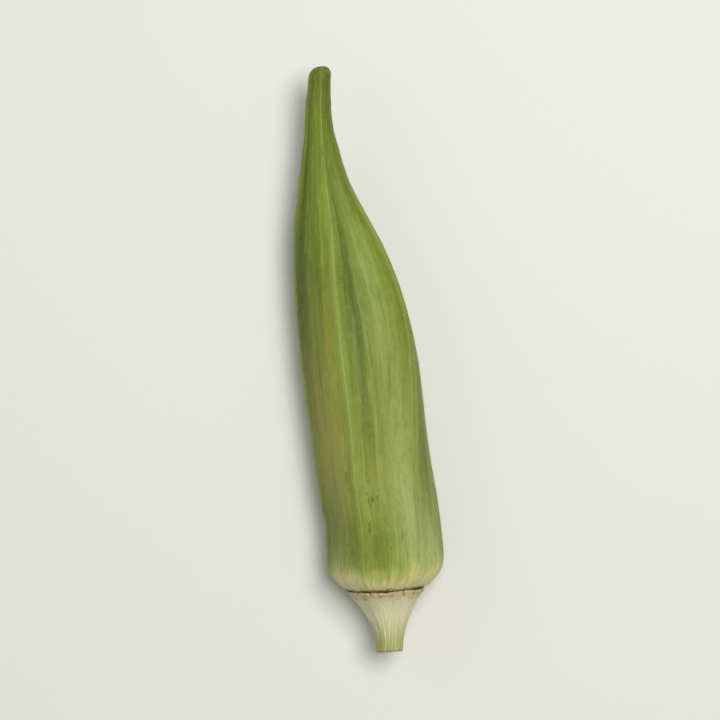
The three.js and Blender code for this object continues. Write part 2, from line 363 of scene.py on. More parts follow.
# Spots: cells to a millimetre across and along, radius and softness in cells, and which show.
DOTS = (1.25, 0.9, 0.17, 0.1, (0.35, 0.9, 0.45))
SPECKS = (0.7, 0.6, 0.26, 0.2, (0.95, 1.0, 0.6))
# The skin's least and most roughness, the shares of grain and pores in its fine bump, the bump's
# strength and depth, and how far red, green and blue light passes through its flesh.
SKIN_ROUGHNESS = (0.44, 0.62)
SKIN_BUMP_SHARES = (0.5, 0.5)
SKIN_BUMP = (0.8, 0.16 * MM)
SKIN_FLESH = (0.5, 1.0, 0.25)
SKIN_SPECULAR = 0.2
# For the skin and the cap: between which two values noise wears the surface, and the flesh.
WEAR_RANGE = (0.3, 0.7)
FLESH_SHOWN = 0.12
FLESH_DEPTH = 1.0 * MM

# ------------------------ the cap's paint, as the skin's
CAP_NOISES = {
    "wander": (0.6, 0.5, 3.0, 0.55), "fibre": (1.7, 0.12, 4.0, 0.65),
    "thread": (5.0, 0.3, 3.0, 0.6), "fleck": (1.4, 1.1, 4.0, 0.7), "grain": (2.5, 2.5, 3.0, 0.6),
}
CAP_TINTS = {
    "fibre": [(0.52, 0.72, 0.6, CAP_FIBRE_LIGHT), (0.48, 0.28, 0.6, CAP_FIBRE_DARK)],
    "thread": [(0.46, 0.28, 0.5, CAP_FIBRE_DARK)],
    "fleck": [(0.66, 0.78, 0.7, SCAR)],
    "pith": [(1.0, 0.7, 1.0, PITH)],
    "grain": [(0.45, 0.65, 0.4, CUT_RING)],
}
CAP_WANDER = 2.2
# The lip starts this far before the shoulder, and flecks crowd towards it.
CAP_START = 1.1
NEAR_LIP = (2.4, -0.9, 0.16)
# The cut end begins at a distance and reaches a radius, and its ring rises and falls between radii.
CUT_FROM = (10.95, 11.0)
CUT_WITHIN = (2.3, 2.1)
RING_RISE = (1.35, 1.7)
RING_FALL = (2.1, 1.8, 0.6)
CAP_ROUGHNESS = (0.5, 0.72)
CAP_BUMP_SHARES = (0.6, 0.4)
CAP_BUMP = (0.6, 0.15 * MM)
CAP_FLESH = (1.0, 0.8, 0.4)

# ------------------------ floor, light and camera
FLOOR_HALF = 3.0
FLOOR_COLOUR = srgb(226, 226, 222)
FLOOR_ROUGHNESS = 0.7
SKY_COLOUR = (0.985, 1.0, 0.985, 1.0)
SKY_STRENGTH = 0.26
# Each light: its name, place and size in metres, power in watts, and colour.
LIGHTS = [
    ("window", (0.18, 0.12, 0.74), 0.36, 4.85, (1.0, 0.995, 0.96)),
    ("room", (-0.45, 0.3, 0.5), 0.5, 0.5, (0.95, 0.98, 1.0)),
]
# The lens and the sensor's width in mm, the picture's turn, and how much of it the pod fills.
LENS = 135.0
SENSOR = 36.0
PICTURE_TURN = math.radians(7.4)
PICTURE_FILLED = 0.82


# ------------------------ curves and noise
def smooth_through(points):
    """A smooth curve through (place, value) points, level beyond both ends."""
    places, values = np.array(points, dtype=float).T
    last = len(places) - 1
    before = np.maximum(np.arange(last + 1) - 1, 0)
    after = np.minimum(np.arange(last + 1) + 1, last)
    slopes = (values[after] - values[before]) / (places[after] - places[before])

    def curve(place):
        inside = np.clip(place, places[0], places[-1])
        index = np.clip(np.searchsorted(places, inside) - 1, 0, last - 1)
        span = places[index + 1] - places[index]
        t = (inside - places[index]) / span
        start_pull = slopes[index] * span
        end_pull = slopes[index + 1] * span
        rise = values[index + 1] - values[index]
        bend = (3 * rise - 2 * start_pull - end_pull) * t**2
        return values[index] + start_pull * t + bend + (start_pull + end_pull - 2 * rise) * t**3

    return curve


def smooth_step(value, low, high):
    """0 below low, 1 above high, and a smooth rise between them."""
    t = np.clip((value - low) / (high - low), 0, 1)
    return t * t * (3 - 2 * t)


def unit(vectors):
    """The vectors at length 1."""
    return vectors / np.maximum(np.linalg.norm(vectors, axis=-1, keepdims=True), SHORTEST)


def noise(points, cell, seed):
    """Smooth noise from -1 to 1. Its lumps are about as large as cell, along each axis."""
    table = np.random.default_rng(seed).uniform(-1, 1, [NOISE_SIDE] * 3)
    scaled = points / np.array(cell)
    corner = np.floor(scaled).astype(int)
    t = scaled - corner
    t = t * t * (3 - 2 * t)
    total = np.zeros(points.shape[:-1])
    for x in (0, 1):
        for y in (0, 1):
            for z in (0, 1):
                weight = np.abs(1 - x - t[..., 0]) * np.abs(1 - y - t[..., 1])
                weight = weight * np.abs(1 - z - t[..., 2])
                there = (corner + (x, y, z)) % NOISE_SIDE
                total += weight * table[there[..., 0], there[..., 1], there[..., 2]]
    return total


def layers(place, levels):
    """Several layers of noise together, each a height, the size of its lumps and its seed."""
    return sum(height * noise(place, size, seed) for height, size, seed in levels)


half_width_at = smooth_through(HALF_WIDTHS)
side_drift_at = smooth_through(SIDE_DRIFTS)
spine_height_at = smooth_through(SPINE_HEIGHTS)
crest_height_at = smooth_through(CREST_HEIGHTS)
rib_angles_at = [smooth_through(rib["angles"]) for rib in RIBS]
face_depths_at = [smooth_through(rib["depths"]) for rib in RIBS]


# ------------------------ meshes
def patches(turn, along, places):
    """How strongly soft patches cover each point. A patch is an angle in degrees, a distance
    along, the half reach of each, and a strength."""
    cover = 0 * turn
    for middle_turn, middle_along, half_turn, half_along, strength in places:
        off_turn = ((turn - middle_turn + 180) % 360 - 180) / half_turn
        off_along = (along - middle_along) / half_along
        cover += strength * np.exp(-(off_turn**2) - off_along**2)
    return np.minimum(cover, 1)


def grid_faces(rows, columns):
    """Quads of a grid of rows that closes round on itself, row by row."""
    row, column = np.meshgrid(np.arange(rows - 1), np.arange(columns), indexing="ij")
    here = row * columns + column
    next_column = row * columns + (column + 1) % columns
    quads = np.stack([here, next_column, next_column + columns, here + columns], axis=-1)
    return quads.reshape(-1, 4)


def grid_normals(surface):
    """Outward unit normals of a grid of points whose rows close round on themselves."""
    around = np.roll(surface, -1, axis=1) - np.roll(surface, 1, axis=1)
    along = np.gradient(surface, axis=0)
    return unit(np.cross(around, along))


def make_object(name, mesh, material, node=None):
    """A piece of the pod: smooth, dressed, and riding on the one body."""
    mesh.materials.append(material)
    mesh.polygons.foreach_set("use_smooth", [True] * len(mesh.polygons))
    piece = bpy.data.objects.new(name, mesh)
    bpy.context.collection.objects.link(piece)
    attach(piece, "root")
    if node:
        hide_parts(node)
    return piece


def ringed_mesh(name, surface, start, end, attributes):
    """A closed mesh over a grid of points in metres, with a point to close each end.

    attributes holds a grid of values, or of vectors, for each name."""
    rows, columns = surface.shape[:2]
    vertices = np.concatenate([surface.reshape(-1, 3), [start, end]])
    column = np.arange(columns)
    following = (column + 1) % columns
    last_row = (rows - 1) * columns
    middle = np.full(columns, rows * columns)
    start_fan = np.stack([middle, following, column], axis=-1)
    end_fan = np.stack([middle + 1, last_row + column, last_row + following], axis=-1)
    fans = np.stack([start_fan, end_fan], axis=1).reshape(-1, 3)
    faces = grid_faces(rows, columns).tolist() + fans.tolist()
    mesh = bpy.data.meshes.new(name)
    mesh.from_pydata(vertices.tolist(), [], faces)
    for key, values in attributes.items():
        flat = values.reshape(rows * columns, -1)
        flat = np.concatenate([flat, flat[:1], flat[-1:]])
        is_vector = flat.shape[1] == 3
        kind = "FLOAT_VECTOR" if is_vector else "FLOAT"
        attribute = mesh.attributes.new(key, kind, "POINT")
        attribute.data.foreach_set("vector" if is_vector else "value", flat.ravel())
    add_map(mesh, ringed_map(rows, columns))
    return mesh


def ringed_map(rows, columns):
    """A ringed mesh laid out as a rectangle, with the columns across and the rows up it."""
    row, column = np.meshgrid(np.arange(1, rows), np.arange(columns), indexing="ij")
    quads = [(column, row), (column + 1, row), (column + 1, row + 1), (column, row + 1)]
    quads = np.array(quads, dtype=float).transpose(2, 3, 0, 1).reshape(-1, 2)
    side = np.arange(columns, dtype=float)
    level = np.ones(columns)
    start_fan = [(side + 0.5, 0 * level), (side + 1, level), (side, level)]
    end_fan = [(side + 0.5, (rows + 1) * level), (side, rows * level), (side + 1, rows * level)]
    fans = np.array([start_fan, end_fan]).transpose(3, 0, 1, 2).reshape(-1, 2)
    return np.concatenate([quads, fans]) / (columns, rows + 1)


def add_map(mesh, corners):
    """The map that the bake uses: a place from 0 to 1 for each corner of each face."""
    layer = mesh.uv_layers.new(name="OFBake")
    layer.data.foreach_set("uv", corners.ravel())


# ------------------------ the pod's skin
def skin_columns():
    """The face and the share of the way across it of each column, from the middle underneath."""
    faces = []
    shares = []
    for face, angle_at in enumerate(rib_angles_at):
        next_at = rib_angles_at[(face + 1) % len(RIBS)]
        steps = round(SKIN_COLUMNS * ((next_at(BELLY) - angle_at(BELLY)) % 360) / 360)
        even = np.arange(steps) / steps
        faces.append(np.full(steps, face))
        shares.append(even - STEP_BUNCHING * np.sin(2 * np.pi * even))
    faces = np.concatenate(faces)
    shares = np.concatenate(shares)
    start = int(np.argmax((faces == LOWEST_FACE) & (shares >= 0.5)))
    return np.roll(faces, -start), np.roll(shares, -start)


def skin_rows():
    """The distances along of the skin's rows, closer together where it rounds off."""
    quarter = np.linspace(FIRST_ROW, 1, SHOULDER_ROWS, endpoint=False) * np.pi / 2
    shoulder = SHOULDER_ROUND * (1 - np.cos(quarter))
    body_end = POD_LENGTH - TIP_ROUND
    body = np.linspace(SHOULDER_ROUND, body_end, BODY_ROWS, endpoint=False)
    tip = body_end + TIP_ROUND * np.sin(np.linspace(0, LAST_ROW, TIP_ROWS) * np.pi / 2)
    return np.concatenate([shoulder, body, tip])


def end_rounding(along):
    """How much of its full width the pod has left at its rounded shoulder and tip."""
    into_shoulder = np.clip(1 - along / SHOULDER_ROUND, 0, 1)
    into_tip = np.clip(1 - (POD_LENGTH - along) / TIP_ROUND, 0, 1)
    into = np.maximum(into_shoulder, into_tip)
    return (1 - into**END_FULLNESS) ** (1 / END_FULLNESS)


def pod_surface(along, face, share):
    """Points of the smooth pod in mm, and for each one its angle from the nearest rib in degrees
    and how far its face has sunk there, as a share of the ribs' reach."""
    rib_angles = np.concatenate([angle_at(along) for angle_at in rib_angles_at], axis=1)
    spreads = (np.roll(rib_angles, -1, axis=1) - rib_angles) % 360
    depths = np.concatenate([depth_at(along) for depth_at in face_depths_at], axis=1)[:, face]
    reaches = np.array([rib["reach"] for rib in RIBS])
    deepest = np.array([rib["deepest"] for rib in RIBS])[face]
    warp = math.log(0.5) / np.log(deepest)
    across = 2 * np.minimum(share**warp, 1 - share**warp)
    full = math.hypot(1, RIB_ROUNDNESS) - RIB_ROUNDNESS
    rounded = (np.hypot(across, RIB_ROUNDNESS) - RIB_ROUNDNESS) / full
    sink = depths * (1 - (1 - rounded) ** FACE_FLATNESS)
    from_rib = np.minimum(share, 1 - share) * spreads[:, face]
    crest = crest_height_at(along) * np.exp(-((from_rib / CREST_HALF_ANGLE) ** 2))
    blend = smooth_step(share, 0, 1)
    reach = (reaches[face] * (1 - blend) + np.roll(reaches, -1)[face] * blend) * (1 - sink) + crest
    angle = np.radians(rib_angles[:, face] + share * spreads[:, face])
    sides = reach * np.sin(angle)
    left = sides.min(axis=1, keepdims=True)
    right = sides.max(axis=1, keepdims=True)
    scale = 2 * half_width_at(along) * end_rounding(along) / (right - left)
    side = scale * (sides - (left + right) / 2)
    slant = SHOULDER_SLANT * (1 - smooth_step(along, 0, SLANT_REACH))
    x = side_drift_at(along) + side
    z = spine_height_at(along) + scale * reach * np.cos(angle)
    return np.stack([x, along - slant * side, z], axis=-1), from_rib, sink


def steady_angles(face, share):
    """Each column's angle at the belly, so that what is drawn by it follows the ribs."""
    start = np.array([angle_at(BELLY) for angle_at in rib_angles_at])
    spread = (np.roll(start, -1) - start) % 360
    return np.radians(start[face] + share * spread[face])


def skin_relief(place, rib, along):
    """The skin's own relief in mm: soft lumps, lengthwise veins, and small warts on the ribs."""
    depth, size, seed = SKIN_VEINS
    veins = depth * (1 - np.abs(noise(place, size, seed))) ** VEIN_SHARPNESS
    relief = layers(place, SKIN_LUMPS) - veins + layers(place, SKIN_GRAIN)
    relief = relief + rib * layers(place, RIB_WARTS) - SKIN_SETBACK
    settled = smooth_step(along, *SHOULDER_FADE) * smooth_step(POD_LENGTH - along, *TIP_FADE)
    return relief * settled


def skin_grid():
    """The skin's points in mm, where its noise is read, and its angle, rib and sink there."""
    face, share = skin_columns()
    along = skin_rows()[:, None]
    surface, from_rib, sink = pod_surface(along, face, share)
    steady = steady_angles(face, share)
    reach = NOISE_RADIUS * np.where(along > BELLY, end_rounding(along), 1)
    place = np.stack([reach * np.sin(steady), reach * np.cos(steady), along + 0 * steady], axis=-1)
    half_angle = RIB_HALF_ANGLE * (1 + RIB_SPREAD * smooth_step(along, *RIB_SPREADS))
    rib = np.exp(-((from_rib / half_angle) ** 2))
    spine = np.stack([side_drift_at(along), along, spine_height_at(along)], axis=-1)
    outward = unit((surface - spine) * np.array([1, 0, 1]))
    return surface, outward, place, np.degrees(steady) + 0 * along, rib, sink


def build_skin(material):
    """The fine skin. Gives its points, their normals, distances along and closeness to a rib, and
    the shift from the pod's millimetres to the world, for what grows on it or joins it."""
    surface, outward, place, turn, rib, sink = skin_grid()
    along = place[..., 2]
    normals = grid_normals(surface)
    surface = surface + outward * skin_relief(place, rib, along)[..., None]
    surface[..., 2] = np.maximum(surface[..., 2], 0)
    low, high = (np.array(corner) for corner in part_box("pod"))
    middle = (surface[..., 0].min() + surface[..., 0].max()) / 2
    shift = np.array([(low[0] + high[0]) / 2 - middle * MM, high[1] - POD_LENGTH * MM, 0])
    world = np.clip(surface * MM + shift, low, high)
    start = world[0].mean(axis=0)
    end = world[-1].mean(axis=0)
    end[1] = high[1]
    attributes = {"place": place, "rib": rib, "sink": sink}
    for key, places in SKIN_PATCHES.items():
        attributes[key] = patches(turn, along, places)
    mesh = ringed_mesh("pod_skin", world, start, end, attributes)
    make_object("pod_skin", mesh, material, "pod")
    return world, normals, along, rib, shift


# ------------------------ the stem cap
def cap_outline():
    """The distance and the radius of each of the cap's rows, evenly spaced along its outline."""
    outline = np.array(CAP_OUTLINE)
    steps = np.linalg.norm(np.diff(outline, axis=0), axis=1)
    travelled = np.concatenate([[0], np.cumsum(steps)])
    distance_at = smooth_through(np.stack([travelled, outline[:, 0]], axis=-1))
    radius_at = smooth_through(np.stack([travelled, outline[:, 1]], axis=-1))
    travel = np.linspace(0, travelled[-1], CAP_ROWS)[:, None]
    return distance_at(travel), np.maximum(radius_at(travel), CAP_OUTLINE[-1][1])


def cap_relief(place, distance, radius):
    """How far the torn lip and the fibrous cone reach out beyond the outline, and the lip's lift."""
    lip = np.exp(-(((distance - LIP_DISTANCE) / LIP_WIDTH) ** 2)) * smooth_step(radius, *LIP_RADII)
    cone = smooth_step(distance, *CONE_DISTANCES) * smooth_step(radius, *CONE_RADII)
    tears = smooth_step(layers(place, TEARS), *TEARS_BETWEEN)
    relief = lip * (layers(place, LIP_ROUGHNESS) - TEAR_DEPTH * tears)
    relief = relief + cone * layers(place, CONE_FIBRES)
    return relief, lip * (layers(place, LIP_WAVES) + TEAR_LIFT * tears)


def build_cap(material, shift):
    """The receptacle's ragged flange and fibrous cone, and the cut stalk."""
    distance, radius = cap_outline()
    angle = np.pi - np.linspace(0, 2 * np.pi, CAP_COLUMNS, endpoint=False)[None, :]
    ones = np.ones((CAP_ROWS, CAP_COLUMNS))
    around = [CAP_NOISE_RADIUS * np.sin(angle) * ones, CAP_NOISE_RADIUS * np.cos(angle) * ones]
    place = np.stack([*around, distance * ones], axis=-1)
    relief, lift = cap_relief(place, distance, radius)
    lobe = np.cos(CAP_LOBES * (angle - math.radians(rib_angles_at[0](0))))
    reach = radius * (1 + CAP_LOBE_HEIGHT * lobe * (radius > CUT_RADIUS)) + relief
    bend = np.maximum(distance / CAP_LENGTH, 0) ** 2
    slant = STALK_CUT_SLANT * np.maximum(distance - STALK_START, 0) / (CAP_LENGTH - STALK_START)
    side = STALK_DRIFT[0] * bend + reach * np.sin(angle)
    x = side_drift_at(0) + side
    y = slant * reach * np.cos(angle) - SHOULDER_SLANT * side - distance - lift
    z = spine_height_at(0) + STALK_DRIFT[1] * bend + reach * np.cos(angle)
    surface = np.stack([x, y, z], axis=-1) * MM + shift
    ends = [surface[row].mean(axis=0) for row in (0, -1)]
    mesh = ringed_mesh("cap_skin", surface, *ends, {"place": place, "reach": reach * ones})
    make_object("cap_skin", mesh, material, "stem_cap")
    weight = smooth_step(distance, *CAP_HAIRS_FROM) * smooth_step(radius, *CAP_HAIR_RADII) * ones
    return surface, grid_normals(surface), weight


# ------------------------ down and shreds
def closed_bits(name, corners, faces, shades, material):
    """Many small closed solids as one piece. corners is a row of points in metres for each
    solid, faces are the same for all, and shades holds a number for each solid.

    The bake's map gives each solid a square of its own."""
    count, points = corners.shape[:2]
    starts = (np.arange(count) * points)[:, None, None]
    mesh = bpy.data.meshes.new(name)
    all_faces = (np.array(faces)[None, :, :] + starts).reshape(-1, len(faces[0]))
    mesh.from_pydata(corners.reshape(-1, 3).tolist(), [], all_faces.tolist())
    attribute = mesh.attributes.new("shade", "FLOAT", "POINT")
    attribute.data.foreach_set("value", np.repeat(shades, points))
    across = math.ceil(math.sqrt(count))
    solid = np.repeat(np.arange(count), len(faces) * len(faces[0]))
    turn = np.tile(np.arange(len(faces[0])), count * len(faces)) * 2 * np.pi / len(faces[0])
    u = (solid % across + 0.5 + MAP_FILLED * np.cos(turn)) / across
    v = (solid // across + 0.5 + MAP_FILLED * np.sin(turn)) / across
    add_map(mesh, np.stack([u, v], axis=-1))
    return make_object(name, mesh, material)


def scatter(surface, weight, count, rng):
    """Random spots on a grid of points that closes round, more of them where weight is high.

    Gives each spot's row, column and point, and the direction along there."""
    along = surface[1:] - surface[:-1]
    around = np.roll(surface, -1, axis=1)[:-1] - surface[:-1]
    area = np.linalg.norm(np.cross(along, around), axis=-1)
    chance = (area * weight[:-1]).ravel()
    chosen = rng.choice(chance.size, count, p=chance / chance.sum())
    row, column = np.divmod(chosen, surface.shape[1])
    up, over = rng.uniform(0, 1, (2, count, 1))
    point = surface[row, column] + up * along[row, column] + over * around[row, column]
    return row, column, point, unit(along[row, column])


def grow_hairs(down, material, inside, surface, normals, weight):
    """Short stiff hairs, each a slim three-sided spike that leans along the surface."""
    count = down["count"]
    rng = np.random.default_rng(down["seed"])
    row, column, point, along = scatter(surface, weight, count, rng)
    normal = normals[row, column]
    stray = rng.normal(0, HAIR_STRAY, (count, 3))
    direction = unit(HAIR_RISE * normal + down["lean"] * along + stray)
    length = rng.uniform(*down["lengths"], (count, 1)) * MM
    girth = rng.uniform(*HAIR_RADII, (count, 1)) * MM
    side = unit(np.cross(direction, normal + HAIR_NUDGE))
    front = np.cross(direction, side)
    root = point - HAIR_ROOT_DEPTH * MM * normal
    corners = []
    for angle in np.arange(HAIR_SIDES) * 2 * np.pi / HAIR_SIDES:
        corners.append(root + girth * (math.cos(angle) * side + math.sin(angle) * front))
    corners.append(root + length * direction)
    low, high = (np.array(corner) for corner in inside)
    corners = np.clip(np.stack(corners, axis=1), low, high)
    faces = [(0, 1, 3), (1, 2, 3), (2, 0, 3), (0, 2, 1)]
    shades = rng.uniform(0, 1, count)
    closed_bits(down["name"], corners, faces, shades, material)


def shred_corners(root, normal, outward, rng):
    """One shred's corners, four to each station along it, as a ribbon that lies on the skin."""
    share = np.linspace(0, 1, SHRED_STATIONS)[:, None]
    over = np.cross(normal, outward)
    turn = rng.normal(0, SHRED_TURN)
    lengthwise = unit(math.cos(turn) * over + math.sin(turn) * outward)
    sideways = np.cross(normal, lengthwise)
    length = rng.uniform(*SHRED_LENGTHS) * MM
    width = rng.uniform(*SHRED_WIDTHS) * MM
    bend, curl, twist = rng.uniform(SHRED_LEAST, SHRED_MOST)
    wobble = rng.uniform(-SHRED_WOBBLE, SHRED_WOBBLE, (SHRED_STATIONS, 1))
    half = width * (0.5 - SHRED_TAPER * np.abs(2 * share - 1) ** SHRED_TAPER_POWER)
    spread = bend * length * (share - 0.5) ** 2 + wobble * width
    middle = root + (share - 0.5) * length * lengthwise + spread * sideways
    middle = middle + (curl * length * share**3 - SHRED_ROOT_DEPTH * MM) * normal
    edge = half * unit(sideways + twist * share * normal)
    top = SHRED_THICKNESS * MM * normal
    section = [middle + edge, middle - edge, middle - edge + top, middle + edge + top]
    return np.stack(section, axis=1).reshape(-1, 3)


def ribbon_faces():
    """The faces of a closed ribbon that has four corners at each of its stations."""
    last = 4 * (SHRED_STATIONS - 1)
    faces = [(0, 1, 2, 3)]
    for station in range(0, last, 4):
        for corner in range(4):
            here = station + corner
            following = station + (corner + 1) % 4
            faces.append((here, here + 4, following + 4, following))
    faces.append((last + 3, last + 2, last + 1, last))
    return faces


def shoulder_shreds(material, surface, normals, along):
    """Papery brown shreds of the flower's base, left on the shoulder round the cap's lip."""
    rng = np.random.default_rng(SHRED_SEED)
    rows = np.where((along > SHRED_ALONG[0]) & (along < SHRED_ALONG[1]))[0]
    corners = []
    for _ in range(SHRED_COUNT):
        row = rng.choice(rows)
        column = rng.integers(surface.shape[1])
        outward = unit(surface[row + 1, column] - surface[row, column])
        corners.append(shred_corners(surface[row, column], normals[row, column], outward, rng))
    low, high = (np.array(corner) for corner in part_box("pod"))
    corners = np.clip(np.array(corners), low, high)
    shades = rng.uniform(0, 1, SHRED_COUNT)
    shreds = closed_bits("shoulder_shreds", corners, ribbon_faces(), shades, material)
    shreds.data.polygons.foreach_set("use_smooth", [False] * len(shreds.data.polygons))


def shaded_material(name, shades, roughness):
    """From dark to light by each solid's own shade."""
    paint = Paint(name)
    paint.set(paint.shader.inputs["Base Color"], paint.mix(paint.attribute("shade"), *shades))
    paint.shader.inputs["Roughness"].default_value = roughness
    return paint.material


# ------------------------ floor, light and camera
def build_floor():
    """A wide flat floor that the pod rests on."""
    mesh = bpy.data.meshes.new("floor")
    half = FLOOR_HALF
    corners = [(-half, -half, 0), (half, -half, 0), (half, half, 0), (-half, half, 0)]
    mesh.from_pydata(corners, [], [(0, 1, 2, 3)])
    floor = bpy.data.objects.new("floor", mesh)
    bpy.context.collection.objects.link(floor)
    material = bpy.data.materials.new("floor")
    material.use_nodes = True
    shader = material.node_tree.nodes["Principled BSDF"]
    shader.inputs["Base Color"].default_value = FLOOR_COLOUR
    shader.inputs["Roughness"].default_value = FLOOR_ROUGHNESS
    mesh.materials.append(material)


def area_light(name, place, size, power, colour):
    """A square soft light that faces the pod."""
    data = bpy.data.lights.new(name, "AREA")
    data.energy = power
    data.color = colour
    data.size = size
    light = bpy.data.objects.new(name, data)
    light.location = place
    light.rotation_euler = (-Vector(place)).to_track_quat("-Z", "Y").to_euler()
    bpy.context.collection.objects.link(light)


def build_light():
    """An even pale sky with the two area lights."""
    world = bpy.data.worlds.new("daylight")
    bpy.context.scene.world = world
    world.use_nodes = True
    background = world.node_tree.nodes["Background"]
    background.inputs["Color"].default_value = SKY_COLOUR
    background.inputs["Strength"].default_value = SKY_STRENGTH
    for light in LIGHTS:
        area_light(*light)


def build_camera():
    """Straight down on the pod, turned so that the tip leans to the left."""
    low, high = cad_bounds
    middle = (low + high) / 2
    view_height = (high.y - low.y) / PICTURE_FILLED
    away = view_height / 2 / (SENSOR / 2 / LENS)
    right = Vector((math.cos(PICTURE_TURN), -math.sin(PICTURE_TURN), 0))
    up = Vector((math.sin(PICTURE_TURN), math.cos(PICTURE_TURN), 0))
    data = bpy.data.cameras.new("camera")
    data.lens = LENS
    data.sensor_width = SENSOR
    camera = bpy.data.objects.new("camera", data)
    turn = Matrix((right, up, (0, 0, 1))).transposed().to_4x4()
    camera.matrix_world = Matrix.Translation((middle.x, middle.y, middle.z + away)) @ turn
    bpy.context.collection.objects.link(camera)
    bpy.context.scene.camera = camera


# ------------------------ materials
class Paint:
    """One material, and short ways to add the nodes that paint it."""

    def __init__(self, name):
        self.material = bpy.data.materials.new(name)
        self.material.use_nodes = True
        self.tree = self.material.node_tree
        self.shader = self.tree.nodes["Principled BSDF"]

    def node(self, kind, inputs, **settings):
        """A new node. inputs holds a value, or another node's output, for each input's name."""
        node = self.tree.nodes.new(kind)
        for key, value in settings.items():
            setattr(node, key, value)
        for key, value in inputs.items():
            self.set(node.inputs[key], value)
        return node

    def set(self, socket, value):
        """Gives a socket a value, or another node's output."""
        if isinstance(value, bpy.types.NodeSocket):
            self.tree.links.new(value, socket)
        else:
            socket.default_value = value

    def attribute(self, name, output="Fac"):
        """What the mesh holds under this name, as a number, or as a vector."""
        return self.node("ShaderNodeAttribute", {}, attribute_name=name).outputs[output]

    def math(self, operation, first, second):
        """Two numbers taken together."""
        return self.node("ShaderNodeMath", {0: first, 1: second}, operation=operation).outputs[0]

    def plus(self, first, second, times):
        """The first number, and the second one added so many times."""
        return self.math("ADD", first, self.math("MULTIPLY", second, times))

    def between(self, value, low, high, most=1.0):
        """0 at low, most at high, and a smooth rise between them. low may be above high."""
        inputs = {"Value": value, "From Min": low, "From Max": high, "To Min": 0.0, "To Max": most}
        node = self.node("ShaderNodeMapRange", inputs, interpolation_type="SMOOTHSTEP")
        return node.outputs["Result"]

    def ramp(self, value, stops):
        """A colour by value, through stops of a position and a colour."""
        node = self.node("ShaderNodeValToRGB", {"Fac": value})
        points = node.color_ramp.elements
        while len(points) < len(stops):
            points.new(0.5)
        for point, (position, colour) in zip(points, stops):
            point.position = position
        for point, (position, colour) in zip(points, stops):
            point.color = colour
        return node.outputs["Color"]

    def mix(self, share, first, second, blend="MIX"):
        """The first colour with this share of the second one over it.

        The mix node's colours are its inputs 6 and 7."""
        inputs = {"Factor": share, 6: first, 7: second}
        node = self.node("ShaderNodeMix", inputs, data_type="RGBA", blend_type=blend)
        return node.outputs[2]


class PlantPaint(Paint):
    """A material of the plant's, painted with named noises and named tints."""

    def __init__(self, name, noises, tints):
        super().__init__(name)
        self.noises = noises
        self.tints = tints
        self.place = self.attribute("place", "Vector")
        self.along = self.node("ShaderNodeSeparateXYZ", {0: self.place}).outputs[2]

    def stretch(self, across, along):
        """The place in cells that are 1 / across wide and 1 / along long."""
        inputs = {0: self.place, 1: (across, across, along)}
        return self.node("ShaderNodeVectorMath", inputs, operation="MULTIPLY").outputs[0]

    def noise(self, name):
        """The noise of this name, from 0 to 1."""
        across, along, detail, roughness = self.noises[name]
        inputs = {"Vector": self.stretch(across, along), "Scale": 1.0}
        inputs.update({"Detail": detail, "Roughness": roughness})
        return self.node("ShaderNodeTexNoise", inputs).outputs["Fac"]

    def tint(self, colour, value, name):
        """The colour with each tint of this name over it, as strong as value makes it."""
        for low, high, most, tone in self.tints[name]:
            colour = self.mix(self.between(value, low, high, most), colour, tone)
        return colour

    def spots(self, across, along, radius, softness, shown):
        """Round spots at random places, one to a cell. shown says which cells' spots show."""
        inputs = {"Vector": self.stretch(across, along), "Scale": 1.0}
        node = self.node("ShaderNodeTexVoronoi", inputs)
        spot = self.between(node.outputs["Distance"], radius, radius - softness)
        draw = self.node("ShaderNodeSeparateColor", {0: node.outputs["Color"]}).outputs[0]
        return self.math("MULTIPLY", spot, self.between(draw, *shown))

    def wandering(self, amount):
        """The distance along, which noise moves to and fro within so many millimetres."""
        wander = self.math("SUBTRACT", self.noise("wander"), 0.5)
        return self.plus(self.along, wander, amount)

    def finish(self, colour, wear, roughness, height, bump, flesh):
        """Wires the shader: the colour, a roughness that follows wear, a fine bump, and some light
        that passes through the flesh."""
        inputs = {"Value": wear, "From Min": WEAR_RANGE[0], "From Max": WEAR_RANGE[1]}
        inputs.update({"To Min": roughness[0], "To Max": roughness[1]})
        rough = self.node("ShaderNodeMapRange", inputs).outputs["Result"]
        strength, depth = bump
        inputs = {"Height": height, "Strength": strength, "Distance": depth}
        normal = self.node("ShaderNodeBump", inputs).outputs["Normal"]
        self.set(self.shader.inputs["Base Color"], colour)
        self.set(self.shader.inputs["Roughness"], rough)
        self.set(self.shader.inputs["Normal"], normal)
        self.shader.inputs["Subsurface Weight"].default_value = FLESH_SHOWN
        self.shader.inputs["Subsurface Radius"].default_value = flesh
        self.shader.inputs["Subsurface Scale"].default_value = FLESH_DEPTH
        return self.material


def skin_ground(paint, shifted):
    """Olive to fresh green along the pod, with painted shade in the valleys between the ribs, patches
    of paler, riper and deeper green, the pale and deep ones partly painted light and shade, and broad
    and small blotches.
    """
    colour = paint.ramp(paint.math("DIVIDE", shifted, POD_LENGTH), SKIN_ALONG)
    colour = paint.tint(colour, paint.noise("broad"), "broad")
    colour = paint.tint(colour, paint.attribute("sink"), "sink")
    for patch, strength, tone in PATCH_TINTS:
        cover = paint.math("MULTIPLY", paint.attribute(patch), strength)
        colour = paint.mix(cover, colour, tone)
    return paint.tint(colour, paint.noise("mottle"), "mottle")


def skin_shoulder(paint, shifted, colour):
    """The cream shoulder, whose edge runs out in points into the green. Where the pale patches lie it
    reaches further, partly a painted highlight.
    """
    edge = paint.plus(shifted, paint.noise("fringe"), FRINGE_LENGTH)
    edge = paint.plus(edge, paint.attribute("pale"), -PALE_AND_LIT_REACH)
    return paint.tint(colour, edge, "edge")


